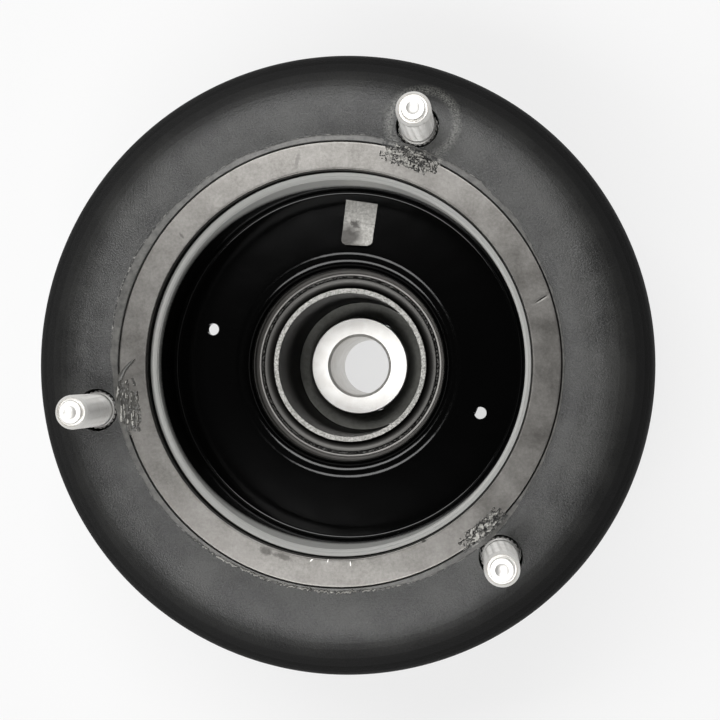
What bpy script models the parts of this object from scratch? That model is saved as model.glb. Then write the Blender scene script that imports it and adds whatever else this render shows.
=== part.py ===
"""Strut mount: a rubber-covered stud plate with a deep bowl and a bonded bush below it.

Lengths are in metres. Z is the axis of the mount and points up, the way the studs point.
The origin lies on the axis, level with the lowest face. A size called ..._DROP is measured
down from the seat, which is the bare flat ring that bolts up against the car's body.
"""

import math

import bpy

# Gap left between pieces that touch in the real mount
CLEAR = 0.0003

# Bowl: black pressed steel, its flange hidden under the stud plate
BOWL_R = 0.0551
BOWL_T = 0.0024
BOWL_DROP = 0.0270
BOWL_FLANGE_W = 0.0084
BOWL_RIM_BEND_R = 0.0034
BOWL_CORNER_R = 0.0022
LEDGE_DROP = 0.0352
LEDGE_W = 0.0054
SHOULDER_BEND_R = 0.0042
NECK_BEND_R = 0.0027
NECK_LENGTH = 0.0080
DRAIN_R = 0.0019
DRAIN_INSET = 0.0105
DRAIN_ANGLES = (165.2, -19.8)

# Stud plate: pressed steel, bare on the seat ring and stepped down under the rubber
RIM_SHOW = 0.0017
SEAT_W = 0.0082
PLATE_T = 0.0035
STEP_W = 0.0030
STUD_OFFSET = 0.0080
PLATE_MARGIN = 0.0100

# Studs: M10, pressed into the plate by a knurled shoulder, three round the axis
STUD_COUNT = 3
FIRST_STUD_ANGLE = 70.8
STUD_HEIGHT = 0.0223
THREAD_R = 0.0049
THREAD_CHAMFER = 0.0007
DOG_R = 0.00335
DOG_HEIGHT = 0.0011
DISH_R = 0.0018
DISH_DEPTH = 0.0004
KNURL_R = 0.0057
KNURL_RISE = 0.0015
KNURL_DEPTH = 0.0004
KNURL_TEETH = 24
HEAD_R = 0.0085
HEAD_T = 0.0030

# Rubber: moulded round the plate, with the spring's seat on its underside
RUBBER_EDGE = 0.0095
RUBBER_PROUD = 0.0006
RUBBER_CROWN_R = 0.0260
RUBBER_CROWN_LEAN = 33.0
RUBBER_TOP_ROUND_R = 0.0065
RUBBER_LOW_ROUND_R = 0.0040
RUBBER_UNDER_T = 0.0135
STUD_WELL_GAP = 0.0006
SPIGOT_W = 0.0078
SPIGOT_HEIGHT = 0.0100
SPIGOT_ROUND_R = 0.0020

# Bush: outer tube, rubber and inner sleeve
TUBE_R = 0.0231
TUBE_T = 0.0017
TUBE_TOP_DROP = 0.0342
TUBE_MARGIN = 0.0020
WELD_W = 0.0022
WELD_HEIGHT = 0.0028
BUSH_DROP = 0.0750
BUSH_LENGTH = 0.0230
BUSH_HOLLOW = 0.0012
BUSH_WALL = 0.0063
SLEEVE_T = 0.0066
SLEEVE_DROP = 0.0635
SLEEVE_LENGTH = 0.0420
SLEEVE_CHAMFER = 0.0010
BOND_STEP = 0.0010

# Bump stop cup: pressed steel, welded round the lower end of the tube
CUP_T = 0.0018
CUP_R = 0.0362
CUP_COLLAR = 0.0060
CUP_SHOULDER = 0.0110
CUP_BEND_R = 0.0024
CUP_RIM_W = 0.0060
CUP_REACH = 0.0220

# Label in the bowl
LABEL_W = 0.0106
LABEL_LENGTH = 0.0148
LABEL_T = 0.00025
LABEL_ANGLE = 84.0
LABEL_TURN = 4.0

# How finely curves are cut into flats, and what counts as one point or as a sharp edge
LARGE_STEPS = 52
SMALL_STEPS = 32
HOLE_STEPS = 20
HOLLOW_STEPS = 4
ARC_TOLERANCE = 0.00015
SAME_POINT = 0.00001
SHARP_ANGLE = 32.0

# Sizes that follow from the ones above
PLATE_HOLE_R = BOWL_R + RIM_SHOW
SEAT_R = PLATE_HOLE_R + SEAT_W
STEP_DEPTH = BOWL_T + CLEAR
STUD_CIRCLE_R = SEAT_R + STUD_OFFSET
PLATE_R = STUD_CIRCLE_R + PLATE_MARGIN
RUBBER_R = PLATE_R + RUBBER_EDGE
TUBE_OUTER_R = TUBE_R + TUBE_T
NECK_R = TUBE_OUTER_R + CLEAR
SLEEVE_R = TUBE_R - BUSH_WALL
SLEEVE_BORE_R = SLEEVE_R - SLEEVE_T
TUBE_END_DROP = BUSH_DROP + BUSH_LENGTH + TUBE_MARGIN
SEAT_Z = TUBE_END_DROP + CUP_REACH
PLATE_UNDER_Z = SEAT_Z - PLATE_T - CLEAR - BOWL_T
BOWL_FLANGE_Z = SEAT_Z - PLATE_T - CLEAR
BOWL_FLOOR_Z = SEAT_Z - BOWL_DROP
LEDGE_Z = SEAT_Z - LEDGE_DROP
LEDGE_R = NECK_R + LEDGE_W
NECK_END_Z = LEDGE_Z - NECK_BEND_R - NECK_LENGTH


def clear_scene():
    """Remove whatever the open scene holds."""
    for obj in list(bpy.data.objects):
        bpy.data.objects.remove(obj, do_unlink=True)


def new_collection(name):
    collection = bpy.data.collections.new(name)
    bpy.context.scene.collection.children.link(collection)
    return collection


def new_material(name, colour, roughness, metallic):
    material = bpy.data.materials.new(name)
    material.use_nodes = True
    shader = material.node_tree.nodes["Principled BSDF"]
    shader.inputs["Base Color"].default_value = (*colour, 1.0)
    shader.inputs["Roughness"].default_value = roughness
    shader.inputs["Metallic"].default_value = metallic
    material.diffuse_color = (*colour, 1.0)
    return material


def arc(centre, radius, start, end):
    """Return points on an arc in the (r, z) plane, from one angle in degrees to another.

    The chords between them stay within ARC_TOLERANCE of the arc.
    """
    chord = 2.0 * math.degrees(math.acos(1.0 - ARC_TOLERANCE / radius))
    count = math.ceil(abs(end - start) / chord)
    angles = [math.radians(start + (end - start) * i / count) for i in range(count + 1)]
    return [(centre[0] + radius * math.cos(a), centre[1] + radius * math.sin(a)) for a in angles]


def left_normal(start, end):
    """Return the unit vector to the left of the way from start to end."""
    length = math.dist(start, end)
    return (start[1] - end[1]) / length, (end[0] - start[0]) / length


def offset(line, distance):
    """Return an open line moved to its left by a distance, with mitred corners."""
    normals = [left_normal(a, b) for a, b in zip(line, line[1:])]
    befores = [normals[0]] + normals
    afters = normals + [normals[-1]]
    moved = []
    for (r, z), (ar, az), (br, bz) in zip(line, befores, afters):
        share = distance / (1.0 + ar * br + az * bz)
        moved.append((r + (ar + br) * share, z + (az + bz) * share))
    return moved


def sheet(line, thickness):
    """Return the closed outline of a sheet that has the line as one face, and lies to its left."""
    return line + offset(line, thickness)[::-1]


def hollowed(start, end, depth):
    """Return points of a parabola from start to end that sinks to its left by a depth."""
    nr, nz = left_normal(start, end)
    points = []
    for i in range(HOLLOW_STEPS + 1):
        share = i / HOLLOW_STEPS
        sink = 4.0 * depth * share * (1.0 - share)
        r = start[0] + (end[0] - start[0]) * share + nr * sink
        z = start[1] + (end[1] - start[1]) * share + nz * sink
        points.append((r, z))
    return points


def runs_down_outside(outline):
    """Tell whether the outline goes down its outer side, as a Screw needs it."""
    pairs = zip(outline, outline[1:] + outline[:1])
    return sum(a[0] * b[1] - b[0] * a[1] for a, b in pairs) < 0.0


def turned(name, outline, steps, collection):
    """Turn an outline in the (r, z) plane round Z, and return the object."""
    if not runs_down_outside(outline):
        outline = outline[::-1]
    count = len(outline)
    edges = [(i, i + 1) for i in range(count - 1)]
    if outline[0][0] > 0.0:
        edges.append((count - 1, 0))
    profile = bpy.data.meshes.new(name + "_profile")
    profile.from_pydata([(r, 0.0, z) for r, z in outline], edges, [])
    obj = bpy.data.objects.new(name, profile)
    collection.objects.link(obj)
    screw = obj.modifiers.new("Turn", "SCREW")
    screw.axis = "Z"
    screw.steps = steps
    screw.render_steps = steps
    screw.use_merge_vertices = True
    screw.merge_threshold = SAME_POINT
    apply_modifiers(obj)
    return obj


def apply_modifiers(obj):
    """Replace the object's mesh with the evaluated one."""
    graph = bpy.context.evaluated_depsgraph_get()
    old = obj.data
    obj.data = bpy.data.meshes.new_from_object(obj.evaluated_get(graph))
    obj.modifiers.clear()
    obj.data.name = obj.name
    bpy.data.meshes.remove(old)


def cut(obj, cutters):
    """Cut each cutter out of the object, and keep the cutters as hidden guides."""
    for cutter in cutters:
        cutter.hide_render = True
        cutter.display_type = "WIRE"
        boolean = obj.modifiers.new("Cut", "BOOLEAN")
        boolean.operation = "DIFFERENCE"
        boolean.object = cutter
        boolean.solver = "EXACT"
    apply_modifiers(obj)


def finish(obj, material):
    """Give the object its material and smooth shading with sharp edges."""
    obj.data.materials.clear()
    obj.data.materials.append(material)
    obj.data.shade_smooth()
    obj.data.set_sharp_from_angle(angle=math.radians(SHARP_ANGLE))


def stud_angles():
    """Return the direction of each stud, in radians."""
    return [math.radians(FIRST_STUD_ANGLE + 360.0 * i / STUD_COUNT) for i in range(STUD_COUNT)]


def on_circle(radius, angle, z=0.0):
    return radius * math.cos(angle), radius * math.sin(angle), z


def plate_top_line():
    """Return the plate's upper face, from its hole out to its edge: seat, step and skirt."""
    return [
        (PLATE_HOLE_R, SEAT_Z),
        (SEAT_R, SEAT_Z),
        (SEAT_R + STEP_W, SEAT_Z - STEP_DEPTH),
        (PLATE_R, SEAT_Z - STEP_DEPTH),
    ]


def make_stud_plate(parts, cutters, material):
    """Stepped steel ring that carries the studs and the bowl."""
    plate = turned("stud_plate", sheet(plate_top_line(), -PLATE_T), LARGE_STEPS, parts)
    radius = KNURL_R + CLEAR
    outline = [
        (0.0, SEAT_Z),
        (radius, SEAT_Z),
        (radius, PLATE_UNDER_Z - PLATE_T),
        (0.0, PLATE_UNDER_Z - PLATE_T),
    ]
    holes = []
    for angle in stud_angles():
        hole = turned("plate_hole", outline, HOLE_STEPS, cutters)
        hole.location = on_circle(STUD_CIRCLE_R, angle)
        holes.append(hole)
    bpy.context.view_layer.update()
    cut(plate, holes)
    finish(plate, material)


def stud_outline():
    """Half section of a stud: dished dog point, thread, knurled shoulder and flat head."""
    top = SEAT_Z + STUD_HEIGHT
    dog_foot = top - DOG_HEIGHT
    knurl_top = SEAT_Z - STEP_DEPTH + KNURL_RISE
    head_top = PLATE_UNDER_Z - CLEAR
    return [
        (0.0, top - DISH_DEPTH),
        (DISH_R, top),
        (DOG_R, top),
        (DOG_R, dog_foot),
        (THREAD_R - THREAD_CHAMFER, dog_foot),
        (THREAD_R, dog_foot - THREAD_CHAMFER),
        (THREAD_R, knurl_top),
        (KNURL_R, knurl_top),
        (KNURL_R, head_top),
        (HEAD_R, head_top),
        (HEAD_R, head_top - HEAD_T),
        (0.0, head_top - HEAD_T),
    ]


def serrate(mesh, radius, depth):
    """Pull every other column of points at a radius inwards, so that it becomes teeth."""
    pitch = math.pi / KNURL_TEETH
    for vertex in mesh.vertices:
        reach = math.hypot(vertex.co.x, vertex.co.y)
        column = round(math.atan2(vertex.co.y, vertex.co.x) / pitch)
        if math.isclose(reach, radius, abs_tol=SAME_POINT) and column % 2:
            vertex.co.x *= 1.0 - depth / radius
            vertex.co.y *= 1.0 - depth / radius


def make_studs(parts, material):
    """Three studs that stand up from the plate, with their heads under it."""
    for number, angle in enumerate(stud_angles(), start=1):
        stud = turned(f"stud_{number}", stud_outline(), 2 * KNURL_TEETH, parts)
        serrate(stud.data, KNURL_R, KNURL_DEPTH)
        finish(stud, material)
        stud.location = on_circle(STUD_CIRCLE_R, angle)


def bowl_upper_line():
    """Upper face of the bowl: flange, rim bend, wall, corner, floor, ledge and neck."""
    rim = (BOWL_R + BOWL_RIM_BEND_R, BOWL_FLANGE_Z - BOWL_RIM_BEND_R)
    corner = (BOWL_R - BOWL_CORNER_R, BOWL_FLOOR_Z + BOWL_CORNER_R)
    shoulder = (LEDGE_R + SHOULDER_BEND_R, BOWL_FLOOR_Z - SHOULDER_BEND_R)
    neck = (NECK_R + NECK_BEND_R, LEDGE_Z - NECK_BEND_R)
    line = [(BOWL_R + BOWL_FLANGE_W, BOWL_FLANGE_Z)]
    line += arc(rim, BOWL_RIM_BEND_R, 90.0, 180.0)
    line += arc(corner, BOWL_CORNER_R, 0.0, -90.0)
    line += arc(shoulder, SHOULDER_BEND_R, 90.0, 180.0)
    line.append((LEDGE_R, LEDGE_Z))
    line += arc(neck, NECK_BEND_R, 90.0, 180.0)
    line.append((NECK_R, NECK_END_Z))
    return line


def make_bowl(parts, cutters, material):
    """Deep drawn bowl with two drain holes, a ledge round the tube and a neck below it."""
    bowl = turned("bowl", sheet(bowl_upper_line(), BOWL_T), LARGE_STEPS, parts)
    outline = [
        (0.0, BOWL_FLOOR_Z + BOWL_T),
        (DRAIN_R, BOWL_FLOOR_Z + BOWL_T),
        (DRAIN_R, BOWL_FLOOR_Z - 2.0 * BOWL_T),
        (0.0, BOWL_FLOOR_Z - 2.0 * BOWL_T),
    ]
    holes = []
    for angle in DRAIN_ANGLES:
        hole = turned("drain_hole", outline, HOLE_STEPS, cutters)
        hole.location = on_circle(BOWL_R - DRAIN_INSET, math.radians(angle))
        holes.append(hole)
    bpy.context.view_layer.update()
    cut(bowl, holes)
    finish(bowl, material)


def crowned_top(top):
    """Return the moulding's upper side: a crown that falls away outwards, then a tight round."""
    lean = math.radians(RUBBER_CROWN_LEAN)
    growth = RUBBER_CROWN_R - RUBBER_TOP_ROUND_R
    shoulder_r = RUBBER_R - RUBBER_TOP_ROUND_R
    crown = (shoulder_r - growth * math.sin(lean), top - RUBBER_CROWN_R)
    shoulder = (shoulder_r, crown[1] + growth * math.cos(lean))
    line = arc(crown, RUBBER_CROWN_R, 90.0, 90.0 - RUBBER_CROWN_LEAN)
    return line + arc(shoulder, RUBBER_TOP_ROUND_R, 90.0 - RUBBER_CROWN_LEAN, 0.0)[1:]


def rubber_outline():
    """Half section of the moulding, with the slot that the plate and the bowl's flange fill."""
    top = SEAT_Z + RUBBER_PROUD
    seat = PLATE_UNDER_Z - RUBBER_UNDER_T
    inner = BOWL_R + BOWL_T + CLEAR
    spigot = inner + SPIGOT_W
    slot_floor = PLATE_UNDER_Z - CLEAR
    edge = (RUBBER_R - RUBBER_LOW_ROUND_R, seat + RUBBER_LOW_ROUND_R)
    root = (spigot + SPIGOT_ROUND_R, seat - SPIGOT_ROUND_R)
    foot = (spigot - SPIGOT_ROUND_R, seat - SPIGOT_HEIGHT + SPIGOT_ROUND_R)
    line = [(SEAT_R + CLEAR, top)]
    line += crowned_top(top)
    line += arc(edge, RUBBER_LOW_ROUND_R, 0.0, -90.0)
    line += arc(root, SPIGOT_ROUND_R, 90.0, 180.0)
    line += arc(foot, SPIGOT_ROUND_R, 0.0, -90.0)
    line.append((inner, seat - SPIGOT_HEIGHT))
    line.append((inner, slot_floor - BOWL_RIM_BEND_R + BOWL_T))
    line.append((inner + BOWL_RIM_BEND_R - BOWL_T, slot_floor))
    line.append((PLATE_R + CLEAR, slot_floor))
    step_foot, edge_top = offset(plate_top_line(), CLEAR)[-2:]
    line.append((PLATE_R + CLEAR, edge_top[1]))
    line.append(step_foot)
    line.append((SEAT_R + CLEAR, SEAT_Z + CLEAR / 2.0))
    return line


def make_rubber_flange(parts, cutters, material):
    """Moulded rubber over the plate, with a well round each stud and its head."""
    rubber = turned("rubber_flange", rubber_outline(), LARGE_STEPS, parts)
    well_r = KNURL_R + STUD_WELL_GAP
    head_r = HEAD_R + CLEAR
    ledge = PLATE_UNDER_Z - CLEAR / 2.0
    outline = [
        (0.0, SEAT_Z + STUD_HEIGHT),
        (well_r, SEAT_Z + STUD_HEIGHT),
        (well_r, ledge),
        (head_r, ledge),
        (head_r, PLATE_UNDER_Z - HEAD_T - 2.0 * CLEAR),
        (0.0, PLATE_UNDER_Z - HEAD_T - 2.0 * CLEAR),
    ]
    wells = []
    for angle in stud_angles():
        well = turned("stud_well", outline, HOLE_STEPS, cutters)
        well.location = on_circle(STUD_CIRCLE_R, angle)
        wells.append(well)
    bpy.context.view_layer.update()
    cut(rubber, wells)
    finish(rubber, material)


def make_bush_tube(parts, material):
    """Cut length of tube, with the weld bead that holds it under the bowl's neck."""
    top = SEAT_Z - TUBE_TOP_DROP
    bead = NECK_END_Z - CLEAR
    outline = [
        (TUBE_R, top),
        (TUBE_OUTER_R, top),
        (TUBE_OUTER_R, bead),
        (TUBE_OUTER_R + WELD_W, bead),
        (TUBE_OUTER_R, bead - WELD_HEIGHT),
        (TUBE_OUTER_R, SEAT_Z - TUBE_END_DROP),
        (TUBE_R, SEAT_Z - TUBE_END_DROP),
    ]
    finish(turned("bush_tube", outline, SMALL_STEPS, parts), material)


def make_bush_rubber(parts, material):
    """Rubber bonded between tube and sleeve, its ends hollowed and drawn out on the sleeve."""
    outer = TUBE_R - CLEAR
    inner = SLEEVE_R + CLEAR
    wall_top = SEAT_Z - BUSH_DROP
    bond_top = SEAT_Z - SLEEVE_DROP - BOND_STEP
    bond_low = SEAT_Z - SLEEVE_DROP - SLEEVE_LENGTH + BOND_STEP
    line = hollowed((outer, wall_top), (inner, bond_top), BUSH_HOLLOW)
    line += hollowed((inner, bond_low), (outer, wall_top - BUSH_LENGTH), BUSH_HOLLOW)
    finish(turned("bush_rubber", line, SMALL_STEPS, parts), material)


def make_bush_sleeve(parts, material):
    """Thick inner sleeve that the strut's rod passes through."""
    top = SEAT_Z - SLEEVE_DROP
    low = top - SLEEVE_LENGTH
    outline = [
        (SLEEVE_BORE_R + SLEEVE_CHAMFER, top),
        (SLEEVE_R, top),
        (SLEEVE_R, low),
        (SLEEVE_BORE_R + SLEEVE_CHAMFER, low),
        (SLEEVE_BORE_R, low + SLEEVE_CHAMFER),
        (SLEEVE_BORE_R, top - SLEEVE_CHAMFER),
    ]
    finish(turned("bush_sleeve", outline, SMALL_STEPS, parts), material)


def make_bump_stop_cup(parts, material):
    """Pressed cup for the bump stop: collar on the tube, shoulder, wall and rolled-out rim."""
    collar_r = TUBE_OUTER_R + CLEAR + CUP_T
    wall_r = CUP_R + CUP_T
    shoulder = SEAT_Z - TUBE_END_DROP + CUP_SHOULDER
    rim = CUP_T
    line = [(collar_r, shoulder + CUP_COLLAR)]
    line += arc((collar_r + CUP_BEND_R, shoulder + CUP_BEND_R), CUP_BEND_R, 180.0, 270.0)
    outer_bend = CUP_BEND_R + CUP_T
    line += arc((wall_r - outer_bend, shoulder - outer_bend), outer_bend, 90.0, 0.0)
    line += arc((wall_r + CUP_BEND_R, rim + CUP_BEND_R), CUP_BEND_R, 180.0, 270.0)
    line.append((wall_r + CUP_RIM_W, rim))
    finish(turned("bump_stop_cup", sheet(line, -CUP_T), SMALL_STEPS, parts), material)


def make_label(parts, material):
    """Small paper label stuck on the floor of the bowl."""
    bpy.ops.mesh.primitive_cube_add(size=1.0)
    label = bpy.context.active_object
    label.name = "label"
    for collection in list(label.users_collection):
        collection.objects.unlink(label)
    parts.objects.link(label)
    for vertex in label.data.vertices:
        vertex.co.x *= LABEL_LENGTH
        vertex.co.y *= LABEL_W
        vertex.co.z *= LABEL_T
    reach = BOWL_R - BOWL_CORNER_R - CLEAR - LABEL_LENGTH / 2.0
    angle = math.radians(LABEL_ANGLE)
    label.location = on_circle(reach, angle, BOWL_FLOOR_Z + CLEAR + LABEL_T / 2.0)
    label.rotation_euler = (0.0, 0.0, math.radians(LABEL_ANGLE + LABEL_TURN))
    label.data.materials.append(material)


def build():
    clear_scene()
    parts = new_collection("strut_mount")
    cutters = new_collection("cutters")
    bare_steel = new_material("bare_steel", (0.42, 0.41, 0.38), 0.45, 1.0)
    zinc = new_material("zinc_plate", (0.78, 0.78, 0.75), 0.30, 1.0)
    black_paint = new_material("black_paint", (0.006, 0.006, 0.006), 0.12, 0.0)
    rubber = new_material("moulded_rubber", (0.030, 0.030, 0.029), 0.75, 0.0)
    tube_steel = new_material("tube_steel", (0.16, 0.16, 0.15), 0.50, 1.0)
    paper = new_material("label_paper", (0.80, 0.79, 0.76), 0.60, 0.0)
    make_stud_plate(parts, cutters, bare_steel)
    make_studs(parts, zinc)
    make_bowl(parts, cutters, black_paint)
    make_rubber_flange(parts, cutters, rubber)
    make_bush_tube(parts, tube_steel)
    make_bush_rubber(parts, rubber)
    make_bush_sleeve(parts, zinc)
    make_bump_stop_cup(parts, black_paint)
    make_label(parts, paper)


build()
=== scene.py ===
import math

import bmesh
import bpy
import numpy as np
from mathutils import Matrix, Vector


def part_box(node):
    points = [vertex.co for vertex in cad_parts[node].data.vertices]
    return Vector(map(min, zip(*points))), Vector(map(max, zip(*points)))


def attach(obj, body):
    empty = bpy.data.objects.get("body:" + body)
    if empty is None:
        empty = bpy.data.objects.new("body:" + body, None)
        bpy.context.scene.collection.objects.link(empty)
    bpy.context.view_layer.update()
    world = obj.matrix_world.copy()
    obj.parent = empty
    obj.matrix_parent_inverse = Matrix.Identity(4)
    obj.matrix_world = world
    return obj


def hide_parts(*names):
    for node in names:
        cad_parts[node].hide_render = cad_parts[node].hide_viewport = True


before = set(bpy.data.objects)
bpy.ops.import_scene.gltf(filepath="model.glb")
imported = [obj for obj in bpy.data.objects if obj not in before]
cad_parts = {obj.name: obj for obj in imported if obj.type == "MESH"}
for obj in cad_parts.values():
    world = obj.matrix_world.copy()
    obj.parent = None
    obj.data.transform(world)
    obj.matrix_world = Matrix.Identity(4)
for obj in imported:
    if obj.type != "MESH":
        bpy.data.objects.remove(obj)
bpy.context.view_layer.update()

# --- Stud plate -----------------------------------------------------------------------------
# Blanked and pressed steel ring, 3.5 mm thick, that carries the studs. Its flat seat stays bare
# where the mould closed on it, and has the marks of handling. The rest lies inside the rubber.

mm = 0.001
seat_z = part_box("stud_plate")[1].z
hole_r = 56.8 * mm
seat_r = 65.0 * mm
plate_r = 83.0 * mm
plate_t = 3.5 * mm
step_depth = 2.7 * mm
stud_circle = 73.0 * mm
stud_turns = np.radians([70.8, 190.8, 310.8])
stud_spots = [(stud_circle * math.cos(a), stud_circle * math.sin(a)) for a in stud_turns]
knurl_r = 5.7 * mm


def linear(code):
    """Linear colour of an sRGB hex code: ((c + 0.055) / 1.055) ** 2.4 above 0.04045."""
    c = np.array([int(code[i:i + 2], 16) for i in (0, 2, 4)]) / 255.0
    c = np.where(c > 0.04045, ((c + 0.055) / 1.055) ** 2.4, c / 12.92)
    return (*c, 1.0)


def link_inputs(node, links):
    """Link inputs, by name or number, to outputs, or to nodes by their first output in use."""
    for key, source in links.items():
        if isinstance(source, bpy.types.Node):
            source = next(output for output in source.outputs if output.enabled)
        node.id_data.links.new(source, node.inputs[key])


def add_node(tree, kind, settings, links=None):
    """Add a node, set its properties, and its inputs by name or number, and link its inputs.
    A hex code is set as a linear colour."""
    node = tree.nodes.new("ShaderNode" + kind)
    for key, value in settings.items():
        if isinstance(key, str) and hasattr(node, key):
            setattr(node, key, value)
        else:
            node.inputs[key].default_value = linear(value) if isinstance(value, str) else value
    link_inputs(node, links or {})
    return node


def new_finish(name, base, roughness, metallic=0.0, **sockets):
    """Material of one Principled shader. Returns it with its tree, shader and place on the piece."""
    material = bpy.data.materials.new(name)
    material.use_nodes = True
    tree = material.node_tree
    shader = tree.nodes["Principled BSDF"]
    shader.inputs["Base Color"].default_value = linear(base)
    shader.inputs["Roughness"].default_value = roughness
    shader.inputs["Metallic"].default_value = metallic
    for key, value in sockets.items():
        shader.inputs[key.replace("_", " ")].default_value = value
    place = add_node(tree, "TexCoord", {}).outputs["Object"]
    return material, tree, shader, place


def bend(centre, radius, start, end, count=9):
    """Arc in the half section: centre + radius * (cos a, sin a), a from start to end degrees."""
    a = np.radians(np.linspace(start, end, count))
    return np.column_stack([centre[0] + radius * np.cos(a), centre[1] + radius * np.sin(a)])


def half_section(parts, step):
    """Closed line of (r, z) through points and bends, with no edge longer than step."""
    line = np.vstack([np.atleast_2d(np.array(part, float)) for part in parts])
    ends = np.roll(line, -1, axis=0)
    counts = np.maximum(1, np.ceil(np.linalg.norm(ends - line, axis=1) / step)).astype(int)
    first = np.cumsum(counts) - counts
    share = (np.arange(counts.sum()) - np.repeat(first, counts)) / np.repeat(counts, counts)
    start = np.repeat(line, counts, axis=0)
    return start + (np.repeat(ends, counts, axis=0) - start) * share[:, None]


def turn(line, columns, relief=None, centre=(0.0, 0.0)):
    """Surface of revolution (r cos t, r sin t, z) of a closed line round a centre, pushed
    along the line's outward normal by relief(r, t, z)."""
    ahead, behind = np.roll(line, -1, axis=0), np.roll(line, 1, axis=0)
    if (line[:, 0] * ahead[:, 1] - ahead[:, 0] * line[:, 1]).sum() < 0.0:
        line, ahead, behind = line[::-1], np.roll(line[::-1], -1, axis=0), np.roll(line[::-1], 1, axis=0)
    way = ahead - behind
    way /= np.maximum(np.linalg.norm(way, axis=1), 1e-12)[:, None]
    t = np.linspace(0.0, 2.0 * np.pi, columns, endpoint=False)[None, :]
    r, z = line[:, :1] + 0.0 * t, line[:, 1:] + 0.0 * t
    push = relief(r, t + 0.0 * r, z) if relief else 0.0
    r, z = r + way[:, 1:] * push, z - way[:, :1] * push
    return np.stack([centre[0] + r * np.cos(t), centre[1] + r * np.sin(t), z], axis=-1)


def skin(points, wrap_rows=True, wrap_columns=True):
    """Vertices and four-sided faces of a (rows, columns, 3) grid, wrapped where it closes."""
    rows, columns = points.shape[:2]
    i = np.arange(rows if wrap_rows else rows - 1)[:, None]
    j = np.arange(columns if wrap_columns else columns - 1)[None, :]
    down, across = (i + 1) % rows, (j + 1) % columns
    corners = [i * columns + j, i * columns + across, down * columns + across, down * columns + j]
    return points.reshape(-1, 3), np.stack(corners, axis=-1).reshape(-1, 4)


def new_piece(name, skins, material, sharp=35.0):
    """Object of one or more skins, with doubles merged, smooth but for edges over sharp degrees."""
    count, points, faces = 0, [], []
    for part_points, part_faces in skins:
        points.append(part_points)
        faces.append(part_faces + count)
        count += len(part_points)
    mesh = bpy.data.meshes.new(name)
    mesh.from_pydata(np.vstack(points), [], np.vstack(faces))
    bm = bmesh.new()
    bm.from_mesh(mesh)
    bmesh.ops.remove_doubles(bm, verts=bm.verts, dist=1e-7)
    bmesh.ops.delete(bm, geom=[e for e in bm.edges if not e.link_faces], context="EDGES")
    bm.to_mesh(mesh)
    bm.free()
    mesh.materials.append(material)
    mesh.shade_smooth()
    mesh.set_sharp_from_angle(angle=math.radians(sharp))
    piece = bpy.data.objects.new(name, mesh)
    bpy.context.scene.collection.objects.link(piece)
    return piece


def drill(piece, line, columns, spots, sharp=35.0):
    """Cut the closed body that a line turns, at each spot, out of a piece."""
    cutters = [new_piece("cutter", [skin(turn(np.array(line), columns, centre=spot))],
                         piece.data.materials[0]) for spot in spots]
    for cutter in cutters:
        cut = piece.modifiers.new("Cut", "BOOLEAN")
        cut.operation, cut.object, cut.solver = "DIFFERENCE", cutter, "EXACT"
    graph = bpy.context.evaluated_depsgraph_get()
    old = piece.data
    piece.data = bpy.data.meshes.new_from_object(piece.evaluated_get(graph))
    piece.modifiers.clear()
    piece.data.name = piece.name
    piece.data.shade_smooth()
    piece.data.set_sharp_from_angle(angle=math.radians(sharp))
    bpy.data.meshes.remove(old)
    for cutter in cutters:
        bpy.data.objects.remove(cutter, do_unlink=True)


def ripple(x, y, wavelength, seed, waves=22):
    """Smooth unevenness from about -1 to 1: the sum of sine waves in random directions, with
    lengths from half to twice the given one."""
    rng = np.random.default_rng(seed)
    turns = rng.uniform(0.0, 2.0 * np.pi, waves)
    pace = 2.0 * np.pi / (wavelength * 2.0 ** rng.uniform(-1.0, 1.0, waves))
    starts = rng.uniform(0.0, 2.0 * np.pi, waves)
    total = sum(np.sin(k * (x * math.cos(a) + y * math.sin(a)) + s)
                for k, a, s in zip(pace, turns, starts))
    return total / math.sqrt(waves)


def bump(x, y, spot, reach, angle=0.0):
    """Bell of height 1 at a spot, with reach (along, across) a direction in degrees."""
    a = math.radians(angle)
    along = (x - spot[0]) * math.cos(a) + (y - spot[1]) * math.sin(a)
    across = (y - spot[1]) * math.cos(a) - (x - spot[0]) * math.sin(a)
    return np.exp(-(along / reach[0]) ** 2 - (across / reach[1]) ** 2)


def seat_marks(r, t, z):
    """Height of the marks on the seat: a gouge and its burr, three raised nicks, slow waviness."""
    x, y = r * np.cos(t), r * np.sin(t)
    top = (z > seat_z - 0.05 * mm) & (r < seat_r + 0.5 * mm)
    height = 0.012 * mm * ripple(x, y, 9.0 * mm, 3)
    height += 0.05 * mm * bump(x, y, (59.1 * mm, 18.1 * mm), (1.9 * mm, 0.22 * mm), 32.7)
    height -= 0.12 * mm * bump(x, y, (59.3 * mm, 18.5 * mm), (2.1 * mm, 0.25 * mm), 32.7)
    for px, py, turned_by in ((-7.0, -56.9, 40.0), (-2.2, -57.1, 80.0), (4.4, -57.8, 95.0)):
        height += 0.10 * mm * bump(x, y, (px * mm, py * mm), (0.7 * mm, 0.16 * mm), turned_by)
    return np.where(top, height, 0.0)


drop = seat_z - step_depth
seat_flat = np.linspace(hole_r + 0.8 * mm, seat_r - 0.6 * mm, 17)
plate_line = half_section([
    bend((hole_r + 0.35 * mm, seat_z - 0.35 * mm), 0.35 * mm, 180, 90, 5),
    np.column_stack([seat_flat, np.full(17, seat_z)]),
    bend((seat_r - 0.15 * mm, seat_z - 0.15 * mm), 0.15 * mm, 90, 10, 4),
    (seat_r + 0.3 * mm, seat_z - 0.5 * mm),
    (seat_r + 3.3 * mm, drop),
    (plate_r, drop),
    (plate_r, drop - plate_t),
    (seat_r + 3.3 * mm, drop - plate_t),
    (seat_r, seat_z - plate_t),
    (hole_r, seat_z - plate_t)], 1.5 * mm)

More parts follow.
